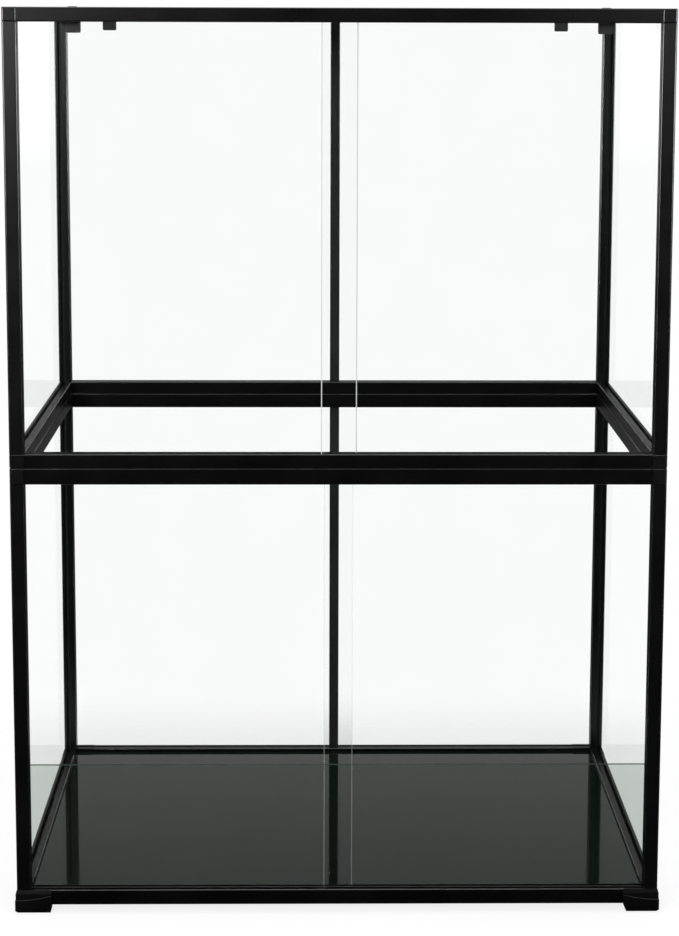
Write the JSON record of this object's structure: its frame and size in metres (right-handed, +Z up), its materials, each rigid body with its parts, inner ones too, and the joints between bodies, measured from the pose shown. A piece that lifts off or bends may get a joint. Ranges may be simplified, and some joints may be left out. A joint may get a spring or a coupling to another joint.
{
  "type": "glass reptile terrarium",
  "caption": "Tall two-storey glass terrarium in a black frame with sliding front doors on each storey, a bedding dam, dark floor glass and a latched lift-off mesh lid.",
  "frame": {"origin": "on the ground, under the middle of the frame", "axes": "+X to the right seen from the front, +Y from the front doors to the rear, +Z up"},
  "size_m": [0.9188, 0.6148, 1.2809],
  "materials": {
    "black_extrusion": "satin black coated extrusion",
    "black_moulding": "fine-grained black moulded plastic",
    "clear_glass": "clear float glass with ground edges",
    "dark_floor_glass": "dark green-black tinted glass, polished",
    "screen_mesh": "black coated wire mesh",
    "black_screw": "black oxide steel"
  },
  "bodies": {
    "frame": {"base_rail_front": "black_extrusion", "base_rail_left": "black_extrusion", "base_rail_rear": "black_extrusion", "base_rail_right": "black_extrusion", "floor_panel": "dark_floor_glass", "foot_front_left": "black_moulding", "foot_front_right": "black_moulding", "foot_rear_left": "black_moulding", "foot_rear_right": "black_moulding", "lower_post_front_left": "black_extrusion", "lower_post_front_right": "black_extrusion", "lower_post_rear_left": "black_extrusion", "lower_post_rear_right": "black_extrusion", "lower_rear_glass_left": "clear_glass", "lower_rear_glass_right": "clear_glass", "lower_rear_strip": "black_extrusion", "lower_side_glass_left": "clear_glass", "lower_side_glass_right": "clear_glass", "lower_top_corners": "black_moulding", "lower_top_rail_front": "black_extrusion", "lower_top_rail_left": "black_extrusion", "lower_top_rail_rear": "black_extrusion", "lower_top_rail_right": "black_extrusion", "substrate_dam": "clear_glass", "top_corners": "black_moulding", "top_rail_front": "black_extrusion", "top_rail_left": "black_extrusion", "top_rail_rear": "black_extrusion", "top_rail_right": "black_extrusion", "upper_base_corners": "black_moulding", "upper_base_rail_front": "black_extrusion", "upper_base_rail_left": "black_extrusion", "upper_base_rail_rear": "black_extrusion", "upper_base_rail_right": "black_extrusion", "upper_post_front_left": "black_extrusion", "upper_post_front_right": "black_extrusion", "upper_post_rear_left": "black_extrusion", "upper_post_rear_right": "black_extrusion", "upper_rear_glass_left": "clear_glass", "upper_rear_glass_right": "clear_glass", "upper_rear_strip": "black_extrusion", "upper_side_glass_left": "clear_glass", "upper_side_glass_right": "clear_glass"},
    "lower_door_left": {"lower_door_left": "clear_glass"},
    "lower_door_right": {"lower_door_right": "clear_glass"},
    "upper_door_left": {"upper_door_left": "clear_glass"},
    "upper_door_right": {"upper_door_right": "clear_glass"},
    "screen_lid": {"lid_bar_front": "black_extrusion", "lid_bar_left": "black_extrusion", "lid_bar_rear": "black_extrusion", "lid_bar_right": "black_extrusion", "lid_mesh": "screen_mesh"},
    "latch_front_left": {"lid_latch_front_left": "black_moulding", "latch_screw_front_left": "black_screw"},
    "latch_front_right": {"lid_latch_front_right": "black_moulding", "latch_screw_front_right": "black_screw"},
    "latch_rear_left": {"lid_latch_rear_left": "black_moulding", "latch_screw_rear_left": "black_screw"},
    "latch_rear_right": {"lid_latch_rear_right": "black_moulding", "latch_screw_rear_right": "black_screw"}
  },
  "joints": [
    {"name": "lower_door_left_slide", "type": "slide", "parent": "frame", "child": "lower_door_left", "axis": [1, 0, 0], "range_m": [0, 0.4195]},
    {"name": "lower_door_right_slide", "type": "slide", "parent": "frame", "child": "lower_door_right", "axis": [1, 0, 0], "range_m": [-0.4195, 0]},
    {"name": "upper_door_left_slide", "type": "slide", "parent": "frame", "child": "upper_door_left", "axis": [1, 0, 0], "range_m": [0, 0.415]},
    {"name": "upper_door_right_slide", "type": "slide", "parent": "frame", "child": "upper_door_right", "axis": [1, 0, 0], "range_m": [-0.415, 0]},
    {"name": "screen_lid_lift", "type": "slide", "parent": "frame", "child": "screen_lid", "axis": [0, 0, 1], "range_m": [0, 0.08]},
    {"name": "latch_front_left_turn", "type": "hinge", "parent": "screen_lid", "child": "latch_front_left", "pos_m": [-0.365, -0.266, 1.28], "axis": [0, 0, 1], "range_deg": [0, 90]},
    {"name": "latch_front_right_turn", "type": "hinge", "parent": "screen_lid", "child": "latch_front_right", "pos_m": [0.365, -0.266, 1.28], "axis": [0, 0, 1], "range_deg": [0, 90]},
    {"name": "latch_rear_left_turn", "type": "hinge", "parent": "screen_lid", "child": "latch_rear_left", "pos_m": [-0.365, 0.266, 1.28], "axis": [0, 0, 1], "range_deg": [0, 90]},
    {"name": "latch_rear_right_turn", "type": "hinge", "parent": "screen_lid", "child": "latch_rear_right", "pos_m": [0.365, 0.266, 1.28], "axis": [0, 0, 1], "range_deg": [0, 90]}
  ]
}
